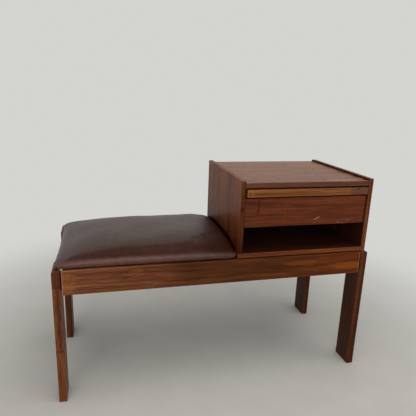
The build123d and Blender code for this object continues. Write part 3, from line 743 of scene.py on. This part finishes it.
# Dark brown leather, pebbled every 1.4 mm and mottled.
leather = Finish(bpy.data.materials.new("seat_leather"))
pebble_sockets = {"Vector": leather.place, "Scale": 720.0}
pebble = leather.node("ShaderNodeTexVoronoi", {"feature": "DISTANCE_TO_EDGE"}, pebble_sockets)
pebble = leather.step(pebble, 0.0, 0.2)
mottle = leather.speckle(42, detail=4.0, rough=0.65)
cloud = leather.speckle(9, seed=4, detail=3.0)
worn = mottle * 0.55 + cloud * 0.45
browns = ((0.32, tone(36, 13, 5)), (0.46, tone(46, 18, 7)), (0.56, tone(51, 20, 8)))
leather.colour = leather.ramp(worn, *browns, (0.70, tone(62, 26, 12)))
leather.roughness = 0.28 + (mottle - 0.5) * 0.12 + (cloud - 0.5) * 0.08 + (1 - pebble) * 0.06
# Painted shade: its foot and the end against the cabinet are painted near black. It is duller on that
# side.
foot_line = seat_low[2] + 0.0021 + leather.step(leather.x, -0.22, 0.00) * 0.0105
foot = leather.step(leather.z - foot_line, 0.0008, -0.0004)
leather.cover(foot * 0.9, tone(14, 13, 11), 0.7)
leather.cover(leather.step(leather.x, 0.0350, 0.0405) * 0.85, tone(10, 6, 5), 0.6)
# Painted shade beside the cabinet: darker there as well as duller.
beside = leather.step(leather.x, -0.060, 0.030)
leather.cover(beside * 0.60, tone(40, 14, 3))
leather.roughness = leather.roughness + beside * 0.12 + leather.step(leather.y, 0.0, 0.16) * 0.06
# The front edge is painted a dull pink, lower down and fainter towards the cabinet: partly wear, partly
# a painted highlight.
inward = leather.step(leather.x, -0.30, 0.03)
rubbed = leather.step(leather.z + inward * 0.006, 0.4600, 0.4500)
rubbed = rubbed * leather.step(leather.y, -0.1950, -0.2080)
leather.cover(rubbed * (0.22 + mottle * 0.40 - inward * 0.12), tone(108, 68, 60))
leather.relief = pebble * 0.35 + mottle * 0.3 + cloud * 0.4
seat_leather = leather.done(relief_depth=0.0004, specular=0.40)
cushion = fit(cushion_mesh, seat_leather, "bench", "leather", "seat_cover", "seat_foam")


# ------------------------------------------------------------------------------ cabinet sides
# Two boards with upright grain that stand up past the top. Their upper corners are rounded, and
# the thin back sits in a rebate along the inner rear edge of each. Dark red-brown, lacquer worn.
side_ease = 0.0008
side_round = 0.003
side_tones = (tone(66, 28, 9), tone(98, 50, 23), tone(120, 70, 40), tone(144, 94, 58))
side_figure = {"tilt": 0.01, "wave": 0.4, "wear": 0.3, "contrast": 1.35, "gloss": 0.32}
back_low, back_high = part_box("cabinet_back")
for seed, node in enumerate(("cabinet_side_left", "cabinet_side_right")):
    low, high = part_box(node)
    left = node.endswith("left")
    head = [(high[1], high[2]), (low[1], high[2])]
    over_back = (high[1], back_high[2])
    straight = [(low[1], low[2]), (high[1], low[2]), over_back, (high[1], back_high[2] + 0.0001)]
    rebated = [(low[1], low[2]), (back_low[1], low[2]), (back_low[1], back_high[2]), over_back]
    radii = [long_edge * side_ease, long_edge * side_ease, 0, 0, side_round, side_round]
    straight = outline(straight + head, radii)
    rebated = outline(rebated + head, radii)
    first, last = (straight, rebated) if left else (rebated, straight)
    rebate_x = back_low[0] if left else back_high[0]
    stations = [(None, *first), (rebate_x, *first), (rebate_x, *last), (None, *last)]
    board = board_mesh(node + "_board", 0, low[0], high[0], side_ease, stations)
    wood = hardwood(node, 2, side_tones, 60.0 + 4 * seed, **side_figure)
    wood.cover(wood.step(wood.y, low[1] + 0.0012, low[1] + 0.0004) * 0.6, tone(48, 26, 18))
    if left:
        # Painted shade: the left side darkens towards the seat below.
        tint_stops = ((0.0, (0.36, 0.22, 0.14, 1)), (0.5, (0.84, 0.72, 0.62, 1)), (1.0, (1, 1, 1, 1)))
        wood.tint(wood.z, 0.46, 0.66, *tint_stops)
        knot = wood.spot((0.0500, -0.214, 0.587), (0.0080, 0.006, 0.0110), 0.5, (150.0, 150.0, 90.0))
        wood.cover(knot * 0.7, tone(44, 20, 20))
        # A near-black line just under the pad's crown, as pad_rise has it: painted shade in the groove
        # beside the pad.
        across = wood.math("ABSOLUTE", (wood.y - seat_middle[1]) / seat_half_y)
        across = wood.math("MINIMUM", across, 1.0)
        drawn = side_form[1] + front_drawn - wood.step(wood.y, -0.0150, -0.0149) * front_drawn
        crown = seat_edge + (1 - across ** side_form[0]) ** drawn * seat_crown
        rubbed = wood.step(wood.z - crown, -0.0080, -0.0130) * wood.step(wood.x, 0.0460, 0.0450)
        wood.cover(rubbed * 0.9, tone(10, 6, 4), 0.6)
        # The gap round the writing slide's lip is painted near black: painted shade.
        gap = wood.between(wood.z, 0.6225, 0.6505, 0.0006) * wood.step(wood.x, 0.0572, 0.0580)
        wood.cover(gap * 0.9, tone(8, 4, 3), 0.7)
        shade_in_hollow = wood.step(wood.x, high[0] - 0.0008, high[0] - 0.0002)
    else:
        tint_stops = ((0.0, (1.3, 1.2, 1.05, 1)), (0.6, (1.2, 1.1, 1, 1)), (1.0, (0.7, 0.6, 0.5, 1)))
        wood.tint(wood.x, low[0] + 0.0005, high[0], *tint_stops)
        shade_in_hollow = wood.step(wood.x, low[0] + 0.0008, low[0] + 0.0002)
    # Inside the compartment both are painted almost black: painted shade.
    shade_in_hollow = shade_in_hollow * wood.step(wood.y, low[1], low[1] + 0.0020)
    wood.cover(shade_in_hollow * 0.90, tone(30, 12, 7), 0.6)
    top_edge = wood.step(wood.z, high[2] - 0.0012, high[2] - 0.0004)
    wood.cover(top_edge * (0.3 if left else 0.7), tone(50, 22, 10))
    fit(board, wood.done(specular=0.035), "bench", "case_wood", node)


# ------------------------------------------------------------------------------ cabinet bottom
# A board that runs under both sides and is screwed down to the bearers. Its front edge shows, and
# inside the compartment it is painted almost black as painted shade.
bottom_tones = (tone(58, 25, 8), tone(80, 37, 14), tone(98, 48, 20), tone(120, 68, 32))
low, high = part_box("cabinet_bottom")
wood = hardwood("cabinet_bottom", 0, bottom_tones, 90.0, tilt=0.004, wave=0.4)
# Painted shade on the compartment's floor.
inside = wood.step(wood.z, high[2] - 0.0008, high[2] - 0.0002)
inside = inside * wood.step(wood.y, low[1] + 0.0008, low[1] + 0.0020)
wood.cover(inside * 0.88, tone(30, 12, 7), 0.6)
board = plain_board("cabinet_bottom_board", "cabinet_bottom", 0, side_ease)
fit(board, wood.done(specular=wood_specular), "bench", "case_wood", "cabinet_bottom")


# ------------------------------------------------------------------------------ cabinet top
# A flat board dowelled in between the sides, faded to a pinkish brown, with a fine wavy grain. Its
# front edge stayed dark.
low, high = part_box("cabinet_top")
top_tones = (tone(82, 44, 22), tone(102, 60, 34), tone(118, 72, 44), tone(138, 90, 60))
wood = hardwood("cabinet_top", 0, top_tones, 80.0, wave=1.6, contrast=2.2, gloss=0.34)
# A pale rubbed place near the front, and light and dark wisps across the upper face.
pale = wood.spot((0.380, -0.193, high[2]), (0.060, 0.022, 0.01), 0.5, (30.0, 60.0, 60.0))
wood.cover(pale * 0.35, tone(164, 122, 98))
tint_stops = ((0.0, (0.76, 0.72, 0.72, 1)), (0.5, (0.88, 0.84, 0.8, 1)), (1.0, (0.96, 0.92, 0.84, 1)))
wood.tint(wood.y, low[1], high[1], *tint_stops)
upper = wood.step(wood.z, high[2] - 0.0015, high[2] - 0.0003)
bloom = wood.noise(wood.x * 18 + wood.y * 9, wood.y * 110, 2.0, detail=5.0, rough=0.75)
wood.cover(wood.step(bloom, 0.50, 0.62) * upper * 0.35, tone(160, 112, 76))
wood.cover(wood.step(bloom, 0.48, 0.36) * upper * 0.35, tone(66, 32, 14))
wood.roughness = wood.roughness + (bloom - 0.5) * 0.9 + (wood.streak - 0.5) * 0.35
front_edge = wood.step(wood.y, low[1] + 0.0015, low[1] + 0.0003)
wood.cover(front_edge * 0.6, tone(78, 48, 36))
# Painted shade under the top: its underside and the lowest strip of its front edge are darkened.
under = wood.step(wood.z, low[2] + 0.0020, low[2] + 0.0010)
wood.cover(under * 0.7, tone(52, 28, 18))
board = plain_board("cabinet_top_board", "cabinet_top", 0, side_ease)
fit(board, wood.done(specular=0.13), "bench", "top_wood", "cabinet_top")


# ------------------------------------------------------------------------------ runners
# Softwood strips screwed to the cabinet's sides: one pair carries the drawer, one the writing
# slide, and one keeps the slide from tipping. The stop rail hangs under the top.
runner_nodes = (
    "drawer_runner_left",
    "drawer_runner_right",
    "slide_runner_left",
    "slide_runner_right",
    "slide_kicker_left",
    "slide_kicker_right",
    "slide_stop_rail",
)
for seed, node in enumerate(runner_nodes):
    grain = 0 if node == "slide_stop_rail" else 1
    wood = hardwood(node, grain, cross_tones, 100.0 + 5 * seed, wear=0.3, gloss=0.6)
    dress(node, wood.done(specular=0.2))


# ------------------------------------------------------------------------------ drawer
# A plain hardwood front without a handle, pinned to a softwood box. The front is stained,
# scratched once, and chipped along its lower edge.
front_tones = (tone(54, 21, 7), tone(76, 34, 15), tone(94, 44, 20), tone(112, 60, 34))
wood = hardwood("drawer_front", 0, front_tones, 120.0, tilt=0.006, wave=0.8)
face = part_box("drawer_front")[0][1]
line = wood.noise(wood.x * 10, wood.y * 60, (wood.z - wood.x * 0.010) * 700, detail=2.0)
wood.cover(wood.step(line, 0.55, 0.68) * 0.30, tone(52, 20, 10))
# Two drips down the left half, each drawn twice, and four dull stains along the grain.
drips = (
    ((0.1040, 0.572), (0.1052, 0.613), 0.0046, 0.85, tone(64, 16, 4)),
    ((0.1020, 0.570), (0.1024, 0.592), 0.0050, 0.50, tone(74, 26, 8)),
    ((0.1985, 0.545), (0.1955, 0.604), 0.0120, 0.55, tone(94, 42, 8)),
    ((0.2005, 0.552), (0.1990, 0.582), 0.0050, 0.50, tone(74, 26, 5)),
)
for (low_x, low_z), (high_x, high_z), width, share, colour in drips:
    drip = wood.scratch((low_x, face, low_z), (high_x, face, high_z), width)
    wood.cover(drip * share, colour)
dashes = ((0.236, 0.593, 0.030), (0.300, 0.570, 0.034), (0.345, 0.562, 0.026), (0.150, 0.556, 0.030))
for x, z, length in dashes:
    mark = wood.spot((x, face, z), (length, 0.01, 0.0030), 1.0, (30.0, 60.0, 300.0))
    wood.cover(mark * 0.45, tone(62, 22, 10))
# One pale scratch, and three chips at the lower right.
scratch = wood.scratch((0.2950, face, 0.5462), (0.3100, face, 0.5540), 0.0028)
wood.cover(scratch * 0.42, tone(168, 122, 104), 0.7)
for x, z, length in ((0.4125, 0.5385, 0.0050), (0.3790, 0.5330, 0.0065), (0.3930, 0.5298, 0.0060)):
    chip = wood.spot((x, face, z), (length, 0.01, 0.0028), 1.2, (120.0, 60.0, 260.0))
    wood.cover(chip * 0.30, tone(160, 110, 88), 0.7)
board = plain_board("drawer_front_board", "drawer_front", 0, side_ease)
fit(board, wood.done(specular=wood_specular), "drawer", "case_wood", "drawer_front")
for seed, node in enumerate(("drawer_side_left", "drawer_side_right", "drawer_back")):
    grain = 0 if node == "drawer_back" else 1
    wood = hardwood(node, grain, ply_tones, 130.0 + 5 * seed, wear=0.3, gloss=0.55)
    dress(node, wood.done(specular=0.25))


# ------------------------------------------------------------------------------ writing slide
# A thin panel with a deep lip glued along its front; the lip is the lighter strip above the
# drawer. Its finish is worn in stripes at one end and greyed at the other.
lip_ease = 0.0007
lip_tones = (tone(72, 40, 16), tone(98, 56, 24), tone(118, 72, 36), tone(142, 94, 54))
wood = hardwood("slide_lip", 0, lip_tones, 140.0, tilt=0.006, wave=0.5)
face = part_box("slide_lip")[0][1]
wood.tint(wood.x, 0.06, 0.24, (0.0, (1.18, 1.16, 1.04, 1)), (1.0, (1, 1, 1, 1)))
# Upright stripes of wear and a tick at the left end; grey wood with a dark dot at the right end.
stripes = wood.noise(wood.x * 330, 0.0, wood.z * 12, detail=2.0)
stripes = wood.step(stripes, 0.48, 0.60) * wood.step(wood.x, 0.100, 0.088)
wood.cover(stripes * 0.18, tone(156, 106, 60))
wood.cover(wood.scratch((0.0905, face, 0.625), (0.0905, face, 0.646), 0.0012) * 0.5, tone(80, 44, 22))
greyed = wood.step(wood.x + wood.streak * 0.02, 0.412, 0.426)
wood.cover(greyed * 0.8, tone(86, 56, 42), 0.5)
wood.cover(wood.spot((0.4355, face, 0.6422), (0.0050, 0.01, 0.0032)) * 0.9, tone(34, 18, 14))
wood.cover(wood.scratch((0.284, face, 0.626), (0.287, face, 0.646), 0.0012) * 0.4, tone(84, 50, 24))
board = plain_board("slide_lip_strip", "slide_lip", 0, lip_ease)
fit(board, wood.done(specular=wood_specular), "writing_slide", "strip_wood", "slide_lip")
panel_tones = (tone(60, 32, 18), tone(82, 48, 28), tone(102, 62, 38), tone(124, 80, 52))
wood = hardwood("slide_panel", 0, panel_tones, 150.0, wear=0.4)
dress("slide_panel", wood.done(specular=wood_specular))


# ------------------------------------------------------------------------------ studio
# A pale floor that fades into a pale surround, dimmer overhead, one broad lamp above and one in
# front to the left. The camera stands where the bench was looked at from.
backdrop = tone(212, 212, 209)
world = bpy.data.worlds.new("studio_surround")
bpy.context.scene.world = world
sky = Finish(world)
climb = sky.math("DIVIDE", sky.z, (sky.x**2 + sky.y**2 + sky.z**2) ** 0.5)
strength = 1.0 - sky.step(climb, 0.50, 0.90) * 0.75
glow = sky.node("ShaderNodeBackground", {}, {"Color": backdrop, "Strength": strength})
sky.node("ShaderNodeOutputWorld", {}, {"Surface": glow}, out=None)

floor_half = 12.0
fade_start = 0.62
fade_end = 1.60
floor_mesh = bpy.data.meshes.new("studio_floor")
corners = ((-1, -1), (1, -1), (1, 1), (-1, 1))
floor_mesh.from_pydata([(floor_half * x, floor_half * y, 0) for x, y in corners], [], [(0, 1, 2, 3)])
floor = bpy.data.objects.new("studio_floor", floor_mesh)
bpy.context.scene.collection.objects.link(floor)
paint = Finish(bpy.data.materials.new("studio_floor_paint"))
speckle = paint.noise(paint.x * 9, paint.y * 9, 0.0, detail=5.0, rough=0.65)
paint.colour = paint.ramp(speckle, (0.35, tone(175, 173, 167)), (0.65, tone(179, 177, 171)))
paint.roughness = 0.75 + speckle * 0.1
paint.relief = speckle
away = (paint.x**2 + paint.y**2) ** 0.5
rays = paint.node("ShaderNodeLightPath", out=None)
seen = Value(paint, rays.outputs["Is Camera Ray"]) + Value(paint, rays.outputs["Is Glossy Ray"])
seen = paint.math("MINIMUM", seen + Value(paint, rays.outputs["Is Transmission Ray"]), 1.0)
bright = paint.node("ShaderNodeEmission", {}, {"Color": backdrop, "Strength": 1.0})
painted = paint.surface(relief_depth=0.0003, specular=0.2)
fading = {0: paint.step(away, fade_start, fade_end) * seen, 1: painted, 2: bright}
shader = paint.node("ShaderNodeMixShader", {}, fading)
paint.node("ShaderNodeOutputMaterial", {}, {"Surface": shader}, out=None)
floor.data.materials.append(paint.owner)


def lamp(name, place, target, width, height, power):
    """A broad flat lamp at a place, turned to face its target."""
    light = bpy.data.lights.new(name, "AREA")
    light.shape = "RECTANGLE"
    light.size = width
    light.size_y = height
    light.energy = power
    holder = bpy.data.objects.new(name, light)
    bpy.context.scene.collection.objects.link(holder)
    back = np.array(place, float) - np.array(target, float)
    back /= np.linalg.norm(back)
    right = np.cross((0, 0, 1), back)
    right /= np.linalg.norm(right)
    turn = np.eye(4)
    turn[:3, 0], turn[:3, 1], turn[:3, 2], turn[:3, 3] = right, np.cross(back, right), back, place
    holder.matrix_world = Matrix(turn.tolist())
    return holder


lamp_target = (0, 0, 0.4)
lamp_power = 62
lamp("lamp_above", (0.3, -0.6, 3.0), lamp_target, 3.0, 2.4, lamp_power).visible_glossy = False
lamp("lamp_in_front", (-0.8, -3.3, 1.55), lamp_target, 3.4, 2.4, lamp_power)

camera_place = (-0.3591, -1.3787, 0.9254)
camera_yaw = radians(14.62)
camera_pitch = radians(-15.30)
camera_roll = radians(1.98)
camera_lens = 36.94
forward = np.array([sin(camera_yaw), cos(camera_yaw), 0.0]) * cos(camera_pitch)
forward[2] = sin(camera_pitch)
level = np.array([cos(camera_yaw), -sin(camera_yaw), 0.0])
upright = np.cross(level, forward)
camera_data = bpy.data.cameras.new("camera")
camera_data.lens = camera_lens
camera_data.sensor_width = 36.0
camera_data.clip_end = 60.0
camera = bpy.data.objects.new("camera", camera_data)
bpy.context.scene.collection.objects.link(camera)
turn = np.eye(4)
turn[:3, 0] = cos(camera_roll) * level + sin(camera_roll) * upright
turn[:3, 1] = cos(camera_roll) * upright - sin(camera_roll) * level
turn[:3, 2] = -forward
turn[:3, 3] = camera_place
camera.matrix_world = Matrix(turn.tolist())
bpy.context.scene.camera = camera
bpy.context.scene.view_settings.view_transform = "Standard"
